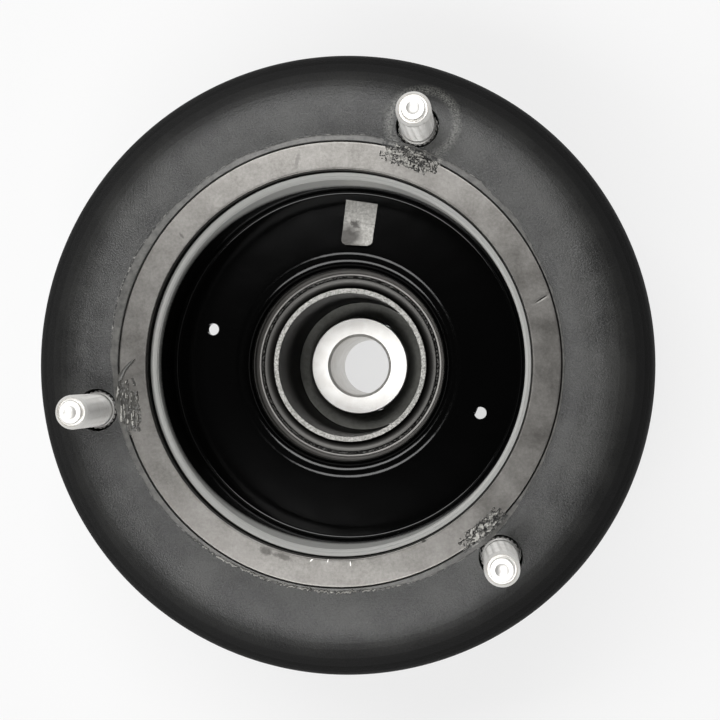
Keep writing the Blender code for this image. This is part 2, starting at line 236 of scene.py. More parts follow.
# Bare rolled steel is a mid grey metal. The mould and the press leave it satin, with soft cloudy
# patches and a fine speckle, so it never mirrors. Below the seat, at its hole's edge, it is painted
# dark as shade and made dull, and handling left nicks and smears, each an ellipse (place, reach in mm,
# angle, share, colour).
steel, tree, shader, place = new_finish("bare_rolled_steel_satin", "6c6a67", 0.36, 1.0)
speckle, clouds, grain = [
    add_node(tree, "TexNoise", {"Scale": scale, "Detail": detail, "Roughness": fine}, {"Vector": place})
    for scale, detail, fine in ((1100.0, 5.0, 0.75), (110.0, 4.0, 0.6), (2600.0, 3.0, 0.5))]
mottle = add_node(tree, "Math", {"operation": "ADD"}, {0: speckle, 1: clouds})
mottled = add_node(tree, "MapRange", {1: 0.75, 2: 1.25}, {0: mottle})
shade = add_node(tree, "Mix", {"data_type": "RGBA", 6: "5f5d5a", 7: "777572"}, {0: mottled})
for spot, reach, angle, share, colour in (
        ((59.3, 18.0), (1.9, 0.18), 32.7, 0.25, "b0aeaa"),
        ((59.3, 18.5), (2.3, 0.26), 32.7, 0.95, "1c1b1a"),
        ((-7.0, -57.2), (0.60, 0.15), 40.0, 0.80, "e0deda"),
        ((-2.2, -57.3), (0.60, 0.15), 80.0, 0.80, "e6e4e0"),
        ((4.4, -58.0), (0.80, 0.16), 95.0, 0.90, "e0deda"),
        ((25.7, -51.2), (0.80, 0.45), 20.0, 0.80, "161615"),
        ((-20.6, -54.8), (2.2, 1.4), -18.0, 0.55, "22211f"),
        ((-15.4, -56.4), (3.2, 1.0), -16.0, 0.50, "22211f"),
        ((-11.3, 59.8), (0.7, 3.2), -12.0, 0.35, "3a3937"),
        ((-46.0, 38.0), (0.4, 1.4), 40.0, 0.50, "3a3937")):
    local = add_node(tree, "Mapping", {
        "vector_type": "TEXTURE", "Location": (spot[0] * mm, spot[1] * mm, seat_z),
        "Rotation": (0.0, 0.0, math.radians(angle)), "Scale": (reach[0] * mm, reach[1] * mm, mm)},
        {"Vector": place})
    away = add_node(tree, "VectorMath", {"operation": "LENGTH"}, {0: local})
    ragged = add_node(tree, "Math", {"operation": "MULTIPLY_ADD", 1: 0.9}, {0: speckle, 2: away})
    cover = add_node(tree, "MapRange", {1: 1.00, 2: 1.55, 3: share, 4: 0.0}, {0: ragged})
    shade = add_node(tree, "Mix", {"data_type": "RGBA", 7: colour}, {0: cover, 6: shade})
level = add_node(tree, "SeparateXYZ", {}, {"Vector": place}).outputs["Z"]
# Painted shade: more than 2.2 mm below the seat, at the hole's edge, the steel is painted near black.
unshaded = add_node(tree, "MapRange", {1: seat_z - 2.2 * mm, 2: seat_z - 1.2 * mm}, {0: level})
hole_edge_shaded = add_node(tree, "Mix", {"data_type": "RGBA", 6: "0e0e0d"}, {0: unshaded, 7: shade})
satin = add_node(tree, "MapRange", {1: 0.3, 2: 0.7, 3: 0.34, 4: 0.39}, {0: clouds})
dull = add_node(tree, "MapRange", {1: seat_z - 2.2 * mm, 2: seat_z - mm, 3: 0.55, 4: 0.0}, {0: level})
roughness = add_node(tree, "Math", {"operation": "ADD"}, {0: satin, 1: dull})
uneven = add_node(tree, "Math", {"operation": "ADD"}, {0: speckle, 1: grain})
relief = add_node(tree, "Bump", {"Strength": 0.25, "Distance": 0.06 * mm}, {"Height": uneven})
link_inputs(shader, {"Base Color": hole_edge_shaded, "Roughness": roughness, "Normal": relief})

plate = new_piece("seat_ring", [skin(turn(plate_line, 1080, seat_marks))], steel)
well_floor = seat_z - 9.0 * mm
drill(plate, [(0.0, seat_z), (knurl_r + 0.3 * mm, seat_z),
              (knurl_r + 0.3 * mm, well_floor), (0.0, well_floor)], 64, stud_spots)
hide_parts("stud_plate")
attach(plate, "root")

# --- Bowl -----------------------------------------------------------------------------------
# Deep drawn steel bowl, 2.4 mm thick, painted gloss black. Its flange is clamped under the stud
# plate, it has two drain holes, and it steps down to a bare ledge and a neck round the bush tube.

bowl_r = 55.1 * mm
bowl_t = 2.4 * mm
rim_bend = 3.4 * mm
corner_bend = 1.2 * mm
shoulder_bend = 3.4 * mm
neck_bend = 2.7 * mm
outer_bend = 4.2 * mm
flange_r = bowl_r + 8.4 * mm
flange_z = seat_z - plate_t - 0.3 * mm
floor_z = seat_z - 27.0 * mm
ledge_z = seat_z - 35.2 * mm
ledge_r = 30.5 * mm
neck_r = 25.1 * mm
neck_end = ledge_z - neck_bend - 8.0 * mm
drain_r = 1.9 * mm
drain_circle = bowl_r - 10.5 * mm
drain_spots = [(drain_circle * math.cos(a), drain_circle * math.sin(a))
               for a in np.radians([165.2, -19.8])]


def away_from(tree, place, spot):
    """Level distance of the piece's surface from a spot (x, y), in metres."""
    flat = add_node(tree, "VectorMath", {"operation": "MULTIPLY", 1: (1.0, 1.0, 0.0)}, {0: place})
    return add_node(tree, "VectorMath", {"operation": "DISTANCE", 1: (*spot, 0.0)}, {0: flat})


def press_waves(r, t, z):
    """Faint waves that deep drawing leaves in the sheet: slow ones round it and small ones."""
    x, y = r * np.cos(t), r * np.sin(t)
    return 0.010 * mm * ripple(x, y, 16.0 * mm, 11) + 0.004 * mm * ripple(x + z, y - z, 5.0 * mm, 12)


def draw_line(r, t, z):
    """The same waves, and the fine line, 0.15 mm deep, that the die's edge left below the rim."""
    inside = (r < bowl_r + 1.2 * mm) & (z > floor_z + 8.0 * mm)
    groove = np.exp(-((z - seat_z + 6.6 * mm) / (0.22 * mm)) ** 2)
    return press_waves(r, t, z) - np.where(inside, 0.15 * mm * groove, 0.0)


def pressed_step(start, width, fall, count=16):
    """Shallow step pressed into the floor: z falls by fall * (3 s^2 - 2 s^3) over its width."""
    share = np.linspace(0.0, 1.0, count)
    return np.column_stack([start[0] - width * share,
                            start[1] - fall * (3.0 - 2.0 * share) * share ** 2])


def ledge_top(count=26):
    """The ledge, inwards: height 0.40 exp(-((r - 29.35) / 0.55)^4), a rounded land beside the
    wall, less 0.25 exp(-((r - 28) / 0.16)^2), a fine groove by the neck, all in mm."""
    r = np.linspace(29.9, 27.8, count)
    z = 0.40 * np.exp(-((r - 29.35) / 0.55) ** 4) - 0.25 * np.exp(-((r - 28.0) / 0.16) ** 2)
    return np.column_stack([r * mm, ledge_z + z * mm])


step_drop = 0.24 * mm
shoulder = (ledge_r + shoulder_bend, floor_z - step_drop - shoulder_bend)
upper = np.vstack([
    [(flange_r, flange_z)],
    bend((bowl_r + rim_bend, flange_z - rim_bend), rim_bend, 90, 180, 40),
    bend((bowl_r - corner_bend, floor_z + corner_bend), corner_bend, 0, -90, 12),
    pressed_step((36.0 * mm, floor_z), 1.5 * mm, step_drop),
    bend(shoulder, shoulder_bend, 90, 180, 20),
    [(ledge_r, ledge_z + 0.6 * mm)],
    ledge_top(),
    bend((neck_r + neck_bend, ledge_z - neck_bend), neck_bend, 90, 180, 14),
    [(neck_r, neck_end)]])
lower = np.vstack([
    [(neck_r + bowl_t, neck_end)],
    bend((neck_r + neck_bend, ledge_z - neck_bend), neck_bend - bowl_t, 180, 90, 4),
    [(ledge_r + bowl_t, ledge_z - bowl_t)],
    bend((ledge_r + outer_bend, floor_z - outer_bend), outer_bend - bowl_t, 180, 90, 8),
    bend((bowl_r - corner_bend, floor_z + corner_bend), corner_bend + bowl_t, -90, 0, 12),
    bend((bowl_r + rim_bend, flange_z - rim_bend), rim_bend - bowl_t, 180, 90, 6),
    [(flange_r, flange_z - bowl_t)]])

# Stoved black enamel over steel: almost black, a clear gloss skin of refractive index 1.5 with
# slight orange peel about 1.5 mm wide, and a little dust that weakens the reflections.
enamel, tree, shader, place = new_finish("stoved_gloss_black_enamel", "030303", 0.13, IOR=1.5,
                                         Specular_IOR_Level=0.28)
peel = add_node(tree, "TexNoise", {"Scale": 650.0, "Detail": 2.0}, {"Vector": place})
dust = add_node(tree, "TexNoise", {"Scale": 2400.0, "Detail": 6.0, "Roughness": 0.75}, {"Vector": place})
dusty = add_node(tree, "MapRange", {1: 0.66, 2: 0.80}, {0: dust})
black = add_node(tree, "Mix", {"data_type": "RGBA", 6: "020202", 7: "0c0c0c"}, {0: dusty})
gloss = add_node(tree, "MapRange", {1: 0.4, 2: 0.8, 3: 0.10, 4: 0.18}, {0: dust})
relief = add_node(tree, "Bump", {"Strength": 0.10, "Distance": 0.05 * mm}, {"Height": peel})
link_inputs(shader, {"Base Color": black, "Roughness": gloss, "Normal": relief})

# The same sheet at the rim, where the masking stopped the paint: bare satin steel on the bend,
# then pale phosphate coat, matt and speckled, that goes over into the black enamel through a soft
# edge of overspray. On the two sides that face the soft boxes the pale is painted 9 mm deeper, as
# painted light on the lit walls (level + 9.5 mm * (y / r)^4). The crack between it and the ring is
# painted black as shade.
rim_steel, tree, shader, place = new_finish("phosphated_rim_fading_into_enamel", "eeeeea", 0.36)
speckle = add_node(tree, "TexNoise", {"Scale": 1800.0, "Detail": 5.0, "Roughness": 0.8}, {"Vector": place})
axes = add_node(tree, "SeparateXYZ", {}, {"Vector": place})
level = axes.outputs["Z"]
# Painted light: the pale reaches deeper on the two sides that face the soft boxes.
lamp_side_reach = add_node(tree, "Math", {"operation": "POWER", 1: 4.0}, {0: axes.outputs["Y"]})
lit_side_level = add_node(tree, "Math", {"operation": "MULTIPLY_ADD", 1: 9.5 * mm / bowl_r ** 4},
                 {0: lamp_side_reach, 2: level})
depth = add_node(tree, "MapRange", {1: seat_z - 11.0 * mm, 2: seat_z - 3.5 * mm}, {0: lit_side_level})
sprayed = add_node(tree, "Math", {"operation": "MULTIPLY_ADD", 1: 0.5, "use_clamp": True},
                   {0: speckle, 2: depth})
bare = add_node(tree, "MapRange", {1: 0.30, 2: 0.85}, {0: sprayed})
coat = add_node(tree, "Mix", {"data_type": "RGBA", 6: "050505", 7: "eeeeea"}, {0: bare})
# Painted shade: the crack between the rim and the ring is painted near black.
crack_shade = add_node(tree, "MapRange", {1: 56.55 * mm, 2: 56.75 * mm}, {0: away_from(tree, place, (0.0, 0.0))})
rim_colour = add_node(tree, "Mix", {"data_type": "RGBA", 7: "070706"}, {0: crack_shade, 6: coat})
metal = add_node(tree, "MapRange", {1: seat_z - 5.6 * mm, 2: seat_z - 4.6 * mm}, {0: level})
matt = add_node(tree, "MapRange", {1: 0.0, 2: 0.6, 3: 0.12, 4: 0.36}, {0: bare})
link_inputs(shader, {"Base Color": rim_colour, "Metallic": metal, "Roughness": matt})

# The ledge is bare too: grey satin steel with a mottle of stray paint from the neck to the land.
ledge_steel, tree, shader, place = new_finish("bare_ledge_steel_with_stray_paint", "73716e", 0.46, 1.0)
reach = away_from(tree, place, (0.0, 0.0))
stray = add_node(tree, "TexNoise", {"Scale": 1500.0, "Detail": 5.0, "Roughness": 0.8}, {"Vector": place})
beyond_neck = add_node(tree, "MapRange", {1: 27.8 * mm, 2: 27.9 * mm}, {0: reach})
before_land = add_node(tree, "MapRange", {1: 28.7 * mm, 2: 29.1 * mm, 3: 1.0, 4: 0.0}, {0: reach})
between = add_node(tree, "Math", {"operation": "MULTIPLY"}, {0: beyond_neck, 1: before_land})
spotted = add_node(tree, "MapRange", {1: 0.40, 2: 0.52}, {0: stray})
painted = add_node(tree, "Math", {"operation": "MULTIPLY"}, {0: between, 1: spotted})
# Painted highlight: the ledge is painted lighter towards the land, on its rounded shoulder.
land_highlight = add_node(tree, "MapRange", {1: 28.4 * mm, 2: 29.2 * mm}, {0: reach})
shade = add_node(tree, "Mix", {"data_type": "RGBA", 6: "545351", 7: "908e8b"}, {0: land_highlight})
ledge_colour = add_node(tree, "Mix", {"data_type": "RGBA", 7: "0b0b0a"}, {0: painted, 6: shade})
link_inputs(shader, {"Base Color": ledge_colour})

bowl = new_piece("bowl_pressing", [skin(turn(half_section([upper, lower], 2.2 * mm), 456,
                                             draw_line))], enamel)
drill(bowl, [(0.0, floor_z + 2.0 * mm), (drain_r, floor_z + 2.0 * mm),
             (drain_r, floor_z - 6.0 * mm), (0.0, floor_z - 6.0 * mm)], 48, drain_spots)
bowl.data.materials.append(rim_steel)
bowl.data.materials.append(ledge_steel)
middles = np.array([face.center for face in bowl.data.polygons])
facing_up = np.array([face.normal.z for face in bowl.data.polygons]) > 0.02
near_neck = np.hypot(middles[:, 0], middles[:, 1]) < ledge_r - 0.1 * mm
on_ledge = near_neck & facing_up & (middles[:, 2] > ledge_z - neck_bend)
# The rim's steel covers the top 20 mm and fades into enamel within it; below that all is enamel.
finishes = np.where(on_ledge, 2, middles[:, 2] > seat_z - 20.0 * mm)
bowl.data.polygons.foreach_set("material_index", finishes.astype(np.int32))
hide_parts("bowl")
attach(bowl, "root")

# --- Bush tube ------------------------------------------------------------------------------
# Length of welded steel tube, sawn off square, which stands up inside the bowl's neck. The sawn
# end is coarse and shiny in grains, the inside is dark. A weld bead under the neck holds it.

tube_r = 23.1 * mm
tube_outer = 24.8 * mm
tube_top = seat_z - 34.2 * mm
tube_end = seat_z - 100.0 * mm
bead_top = neck_end - 0.3 * mm


def sawn_end(r, t, z):
    """Grains of 0.5 and 0.9 mm on the tube's upper end, and a slightly uneven wall, all ripples."""
    x, y = r * np.cos(t), r * np.sin(t)
    end = (z > tube_top - 0.12 * mm)
    grains = 0.030 * mm * ripple(x, y, 0.9 * mm, 21, 40) + 0.020 * mm * ripple(x, y, 0.5 * mm, 22, 40)
    return np.where(end, grains, 0.012 * mm * ripple(x + z, y - z, 6.0 * mm, 23))


def weld_scales(r, t, z):
    """Scales of a weld bead: rounded steps about 2.6 mm apart along it, and some unevenness."""
    out = np.clip((r - tube_outer) / (2.0 * mm), 0.0, 1.0)
    scales = np.abs(np.sin(t * tube_outer * np.pi / (2.56 * mm) + 1.3 * np.sin(3.0 * t)))
    return out * (0.22 * mm * (scales - 0.6) + 0.10 * mm * np.sin(7.0 * t + 1.0))


tube_line = half_section([
    bend((tube_r + 0.2 * mm, tube_top - 0.2 * mm), 0.2 * mm, 180, 90, 4),
    bend((tube_outer - 0.2 * mm, tube_top - 0.2 * mm), 0.2 * mm, 90, 0, 4),
    (tube_outer, tube_end), (tube_r, tube_end)], 0.35 * mm)
# The walls are straight, so only one row in ten stays between the ends.
tube_line = tube_line[(np.arange(len(tube_line)) % 10 == 0)
                      | (tube_line[:, 1] > tube_top - 0.5 * mm)
                      | (tube_line[:, 1] < tube_end + 0.5 * mm)]

# Drawn steel tube: dark satin metal, painted almost black inside as shade, and pale bright grains
# about 0.6 mm across where the saw cut it.
tube_steel, tree, shader, place = new_finish("drawn_steel_dark_satin", "3a3935", 0.50, 1.0)
spots = add_node(tree, "TexNoise", {"Scale": 1500.0, "Detail": 4.0, "Roughness": 0.8}, {"Vector": place})
level = add_node(tree, "SeparateXYZ", {}, {"Vector": place}).outputs["Z"]
cut_face = add_node(tree, "MapRange", {1: tube_top - 0.2 * mm, 2: tube_top - 0.08 * mm}, {0: level})
bright = add_node(tree, "MapRange", {1: 0.35, 2: 0.65}, {0: spots})
grains = add_node(tree, "Mix", {"data_type": "RGBA", 6: "62615e", 7: "b4b3af"}, {0: bright})
# Painted shade: the inside of the wall is painted almost black, the outside a dark grey.
outside = add_node(tree, "MapRange", {1: tube_outer - 0.9 * mm, 2: tube_outer - 0.3 * mm},
                   {0: away_from(tree, place, (0.0, 0.0))})
wall_with_painted_shade = add_node(tree, "Mix", {"data_type": "RGBA", 6: "171716", 7: "56544f"}, {0: outside})
wall_or_cut = add_node(tree, "Mix", {"data_type": "RGBA"}, {0: cut_face, 6: wall_with_painted_shade, 7: grains})
relief = add_node(tree, "Bump", {"Strength": 0.6, "Distance": 0.08 * mm}, {"Height": spots})
link_inputs(shader, {"Base Color": wall_or_cut, "Normal": relief})

bead = half_section([
    (tube_outer, bead_top),
    bend((tube_outer, bead_top - 1.4 * mm), 2.1 * mm, 60, -62, 9),
    (tube_outer, bead_top - 2.9 * mm)], 0.3 * mm)
tube = new_piece("bush_tube_sawn", [skin(turn(tube_line, 900, sawn_end)),
                                    skin(turn(bead, 540, weld_scales))], tube_steel)
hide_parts("bush_tube")
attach(tube, "root")

# --- Bush rubber ----------------------------------------------------------------------------
# Black rubber bonded between the tube and the sleeve. Its ends are moulded hollow and climb the
# sleeve as a skin, to 1 mm below the sleeve's ends.

sleeve_r = 16.8 * mm
bore_r = 10.2 * mm
sleeve_top = seat_z - 63.5 * mm
sleeve_end = sleeve_top - 42.0 * mm
bush_top = seat_z - 75.0 * mm
bush_end = bush_top - 23.0 * mm
bush_rise = 10.5 * mm


def meniscus(level, way, count=40):
    """Rubber's end: z = level + way * rise * (0.2 (1 - s) + 0.8 (1 - s)^8), with s the share of the
    way out from the sleeve: a shallow cone by the wall, and a skin that climbs the sleeve."""
    share = np.linspace(1.0, 0.0, count)
    r = sleeve_r + 0.3 * mm + (tube_r - sleeve_r - 0.6 * mm) * share
    climb = 0.2 * (1.0 - share) + 0.8 * (1.0 - share) ** 8
    return np.column_stack([r, level + way * bush_rise * climb])


def moulded_skin(r, t, z):
    """Slow unevenness of moulded rubber, 0.05 mm either way."""
    return 0.05 * mm * ripple(r * np.cos(t) + z, r * np.sin(t), 11.0 * mm, 31)


bush_line = half_section([meniscus(bush_top, 1.0), meniscus(bush_end, -1.0)[::-1]], 1.2 * mm)

# Moulded natural rubber filled with carbon black: charcoal, with a fine stipple from the mould
# about 0.35 mm wide (drawn at 0.5 mm so that it shows). The top has a sheen and a grey bloom from
# handling, the sides are painted blacker as shade and are duller, and pale dust clings round the first
# stud.
rubber, tree, shader, place = new_finish("moulded_black_rubber", "262625", 0.34, IOR=1.52)
stipple = add_node(tree, "TexNoise", {"Scale": 2000.0, "Detail": 3.0, "Roughness": 0.7}, {"Vector": place})
bloom = add_node(tree, "TexNoise", {"Scale": 70.0, "Detail": 5.0, "Roughness": 0.55}, {"Vector": place})
pits = add_node(tree, "TexVoronoi", {"Scale": 160.0, "Randomness": 1.0}, {"Vector": place})
mottle = add_node(tree, "Math", {"operation": "ADD"}, {0: stipple, 1: bloom})
cloudy = add_node(tree, "MapRange", {1: 0.80, 2: 1.20}, {0: mottle})
charcoal = add_node(tree, "Mix", {"data_type": "RGBA", 6: "1c1c1b", 7: "3f3f3d"}, {0: cloudy})
out = away_from(tree, place, (0.0, 0.0))
# Painted shade: from 75.5 mm outwards the rubber is painted darker, down to 080808 at the edge.
fade = add_node(tree, "MapRange", {1: 75.5 * mm, 2: 87.5 * mm}, {0: out})
shaded = add_node(tree, "Mix", {"data_type": "RGBA", 7: "080808"}, {0: fade, 6: charcoal})
dusting = away_from(tree, place, (stud_spots[0][0] + 1.5 * mm, stud_spots[0][1] + 0.8 * mm))
inner_dust = add_node(tree, "MapRange", {1: 8.0 * mm, 2: 9.4 * mm}, {0: dusting})
outer_dust = add_node(tree, "MapRange", {1: 10.0 * mm, 2: 11.8 * mm, 3: 0.6, 4: 0.0}, {0: dusting})
dust_band = add_node(tree, "Math", {"operation": "MULTIPLY"}, {0: inner_dust, 1: outer_dust})
grains = add_node(tree, "MapRange", {1: 0.40, 2: 0.60}, {0: stipple})
dust_share = add_node(tree, "Math", {"operation": "MULTIPLY"}, {0: dust_band, 1: grains})
dusted = add_node(tree, "Mix", {"data_type": "RGBA", 7: "8a8a85"}, {0: dust_share, 6: shaded})
gloss = add_node(tree, "MapRange", {1: 0.3, 2: 0.7, 3: 0.30, 4: 0.35}, {0: bloom})
side = add_node(tree, "MapRange", {1: 79.0 * mm, 2: 91.0 * mm, 3: 0.0, 4: 0.30}, {0: out})
roughness = add_node(tree, "Math", {"operation": "ADD"}, {0: gloss, 1: side})
pit = add_node(tree, "MapRange", {1: 0.0, 2: 0.10}, {0: pits})
uneven = add_node(tree, "Math", {"operation": "MULTIPLY_ADD", 1: 0.35}, {0: pit, 2: stipple})
relief = add_node(tree, "Bump", {"Strength": 0.65, "Distance": 0.22 * mm}, {"Height": uneven})
link_inputs(shader, {"Base Color": dusted, "Roughness": roughness, "Normal": relief})

# Shaded copies of the same rubber: over the edge its sheen is turned down in five small steps, painted
# shade down to a dull black side.
shaded_side_rubbers = []
for number, sheen in enumerate((0.38, 0.29, 0.22, 0.16, 0.11), start=1):
    shaded_side_rubber = rubber.copy()
    shaded_side_rubber.name = f"moulded_black_rubber_shaded_edge_{number}"
    shaded_side_rubber.node_tree.nodes["Principled BSDF"].inputs["Specular IOR Level"].default_value = sheen
    shaded_side_rubbers.append(shaded_side_rubber)

# The bush is older rubber of a softer mix, painted pale grey: partly an even grey bloom that hides its
# sheen, partly painted light in place of the light that falls down the tube.
bloom_and_painted_light, tree, shader, place = new_finish("bush_rubber_bloom_and_painted_light", "8a8a85", 0.70, IOR=1.52)
powder = add_node(tree, "TexNoise", {"Scale": 500.0, "Detail": 5.0, "Roughness": 0.7}, {"Vector": place})
powdered = add_node(tree, "MapRange", {1: 0.3, 2: 0.7}, {0: powder})
grey = add_node(tree, "Mix", {"data_type": "RGBA", 6: "7c7c77", 7: "979791"}, {0: powdered})
relief = add_node(tree, "Bump", {"Strength": 0.4, "Distance": 0.10 * mm}, {"Height": powder})
link_inputs(shader, {"Base Color": grey, "Normal": relief})

bush = new_piece("bush_rubber_bonded", [skin(turn(bush_line, 360, moulded_skin))], bloom_and_painted_light)
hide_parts("bush_rubber")
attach(bush, "root")

# --- Bush sleeve ----------------------------------------------------------------------------
# Thick steel sleeve for the strut's rod, faced on a lathe and zinc plated, with a chamfered
# bore. Its end catches all the light that falls down the tube.


def facing_lines(r, t, z):
    """Very shallow turning marks, 0.7 mm apart, on the faced ends."""
    flat = (z > sleeve_top - 0.02 * mm) | (z < sleeve_end + 0.02 * mm)
    return np.where(flat, 0.004 * mm * np.sin(2.0 * np.pi * r / (0.7 * mm)), 0.0)


sleeve_line = half_section([
    (bore_r + 0.9 * mm, sleeve_top), (sleeve_r - 0.3 * mm, sleeve_top),
    (sleeve_r, sleeve_top - 0.3 * mm), (sleeve_r, sleeve_end + 0.3 * mm),
    (sleeve_r - 0.3 * mm, sleeve_end), (bore_r + 0.9 * mm, sleeve_end),
    (bore_r, sleeve_end + 0.9 * mm), (bore_r, sleeve_top - 0.9 * mm)], 0.18 * mm)
# The walls are straight, so only one row in sixteen stays between the ends.
sleeve_line = sleeve_line[(np.arange(len(sleeve_line)) % 16 == 0)
                          | (sleeve_line[:, 1] > sleeve_top - 1.2 * mm)
                          | (sleeve_line[:, 1] < sleeve_end + 1.2 * mm)]

# Bright zinc plate on steel: a pale, faintly warm metal, satin, with a slight crystalline mottle.
zinc, tree, shader, place = new_finish("bright_zinc_plate", "f0efea", 0.48, 1.0)
frost = add_node(tree, "TexNoise", {"Scale": 1400.0, "Detail": 5.0, "Roughness": 0.7}, {"Vector": place})
tarnish = add_node(tree, "TexNoise", {"Scale": 260.0, "Detail": 3.0}, {"Vector": place})
patches = add_node(tree, "MapRange", {1: 0.35, 2: 0.68}, {0: tarnish})
silver = add_node(tree, "Mix", {"data_type": "RGBA", 6: "eceae6", 7: "f6f5f2"}, {0: patches})
satin = add_node(tree, "MapRange", {1: 0.3, 2: 0.7, 3: 0.46, 4: 0.56}, {0: frost})
relief = add_node(tree, "Bump", {"Strength": 0.25, "Distance": 0.04 * mm}, {"Height": frost})
link_inputs(shader, {"Base Color": silver, "Roughness": satin, "Normal": relief})

sleeve = new_piece("bush_sleeve_faced", [skin(turn(sleeve_line, 300, facing_lines))], zinc, 30.0)
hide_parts("bush_sleeve")
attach(sleeve, "root")

# --- Bump stop cup --------------------------------------------------------------------------
# Pressed steel cup, 1.8 mm thick and painted black, that holds the bump stop under the mount.
# Its collar sits round the lower end of the tube and is welded there.

cup_t = 1.8 * mm
cup_r = 36.2 * mm
cup_bend = 2.4 * mm
cup_shoulder = tube_end + 11.0 * mm
collar_r = tube_outer + 0.3 * mm + cup_t
cup_wall = cup_r + cup_t
cup_foot = cup_wall + 6.0 * mm
outer_face = np.vstack([
    [(collar_r, cup_shoulder + 6.0 * mm)],
    bend((collar_r + cup_bend, cup_shoulder + cup_bend), cup_bend, 180, 270, 10),
    bend((cup_wall - cup_bend - cup_t, cup_shoulder - cup_bend - cup_t), cup_bend + cup_t, 90, 0, 14),
    bend((cup_wall + cup_bend, cup_t + cup_bend), cup_bend, 180, 270, 10),
    [(cup_foot - 0.4 * mm, cup_t), (cup_foot, cup_t - 0.4 * mm)]])
inner_face = np.vstack([
    [(cup_foot, 0.4 * mm), (cup_foot - 0.4 * mm, 0.0)],
    bend((cup_wall + cup_bend, cup_t + cup_bend), cup_bend + cup_t, 270, 180, 12),
    bend((cup_wall - cup_bend - cup_t, cup_shoulder - cup_bend - cup_t), cup_bend, 0, 90, 10),
    bend((collar_r + cup_bend, cup_shoulder + cup_bend), cup_bend + cup_t, 270, 180, 10),
    [(collar_r - cup_t, cup_shoulder + 6.0 * mm)]])


def cup_waves(r, t, z):
    """The bowl's waves, faded to nothing over 2 mm above the foot, which stays flat."""
    return press_waves(r, t, z) * np.clip(z / (2.0 * mm), 0.0, 1.0)


cup = new_piece("bump_stop_cup_pressing", [skin(turn(half_section([outer_face, inner_face], 1.0 * mm),
                                                     420, cup_waves))], enamel)
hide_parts("bump_stop_cup")
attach(cup, "root")

# --- Studs ----------------------------------------------------------------------------------
# Three M10 studs, 1.5 mm pitch, with a dog point for the nut gun. Each is pressed into the plate
# by a knurled collar, its flat head below, and is zinc plated.

stud_top = seat_z + 22.3 * mm
thread_r = 4.9 * mm
thread_pitch = 1.5 * mm
knurl_top = drop + 2.5 * mm
head_top = drop - plate_t - 0.3 * mm
dog_foot = stud_top - 1.1 * mm

stud_line = half_section([
    (0.0, stud_top - 0.5 * mm), bend((0.0, stud_top + 3.25 * mm), 3.75 * mm, -90, -60.1, 12),
    bend((2.95 * mm, stud_top - 0.4 * mm), 0.4 * mm, 90, 0, 7),
    (3.35 * mm, dog_foot - 0.45 * mm), (3.85 * mm, dog_foot - 0.45 * mm),
    (4.1 * mm, dog_foot - 0.05 * mm),
    (thread_r, dog_foot - 0.85 * mm), (thread_r, knurl_top + 0.4 * mm),
    (knurl_r - 0.3 * mm, knurl_top), (knurl_r, knurl_top - 0.3 * mm), (knurl_r, head_top),
    (8.2 * mm, head_top), (8.5 * mm, head_top - 0.3 * mm),
    (8.5 * mm, head_top - 2.7 * mm), (8.2 * mm, head_top - 3.0 * mm), (0.0, head_top - 3.0 * mm)],
    0.10 * mm)


def stud_relief(r, t, z):
    """Rolled thread, cut 0.75 mm deep as a rounded saw of z / pitch - t / (2 pi), faded at its
    ends, and the knurl's 24 rounded teeth, 0.55 mm deep, 1 - |sin 12 t|."""
    turn_share = (z / thread_pitch - t / (2.0 * np.pi)) % 1.0
    flank = np.clip(1.35 * (1.0 - np.abs(2.0 * turn_share - 1.0)), 0.0, 1.0)
    fade = np.clip((dog_foot - 0.7 * mm - z) / (0.9 * mm), 0.0, 1.0) \
        * np.clip((z - knurl_top - 1.0 * mm) / (1.5 * mm), 0.0, 1.0)
    threaded = (np.abs(r - thread_r) < 0.02 * mm)
    knurled = (r > knurl_r - 0.34 * mm) & (r < knurl_r + 0.02 * mm) & (z < knurl_top + 0.02 * mm)
    teeth = knurled * (1.0 - np.abs(np.sin(12.0 * t)))
    return np.where(threaded, -0.75 * mm * flank * fade, 0.0) - 0.55 * mm * teeth


for number, spot in enumerate(stud_spots, start=1):
    stud = new_piece(f"stud_threaded_{number}",
                     [skin(turn(stud_line, 144, stud_relief, centre=spot))], zinc, 38.0)
    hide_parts(f"stud_{number}")
    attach(stud, "root")

# --- Rubber flange --------------------------------------------------------------------------
# Heavy moulding of black rubber round the plate's edge. Its top is a little proud of the seat,
# it has a well round each stud, and its underside is the upper seat of the road spring.

rubber_r = 92.5 * mm
rubber_top = seat_z + 0.6 * mm
top_round = 6.5 * mm
crown_r = 26.0 * mm
crown_lean = 33.0
crown_fall = crown_r * (1.0 - math.cos(math.radians(crown_lean)))
crown_w = top_round * (1.0 - math.sin(math.radians(crown_lean))) \
    + crown_r * math.sin(math.radians(crown_lean))
top_round_z = rubber_top - crown_fall - top_round * math.cos(math.radians(crown_lean))
low_round = 4.0 * mm
spring_seat = drop - plate_t - 13.5 * mm + 0.3 * mm
inner_r = bowl_r + bowl_t + 0.3 * mm
spigot_r = inner_r + 7.8 * mm
slot_floor = drop - plate_t - 0.3 * mm
well_r = knurl_r + 0.6 * mm
land_r = 67.6 * mm

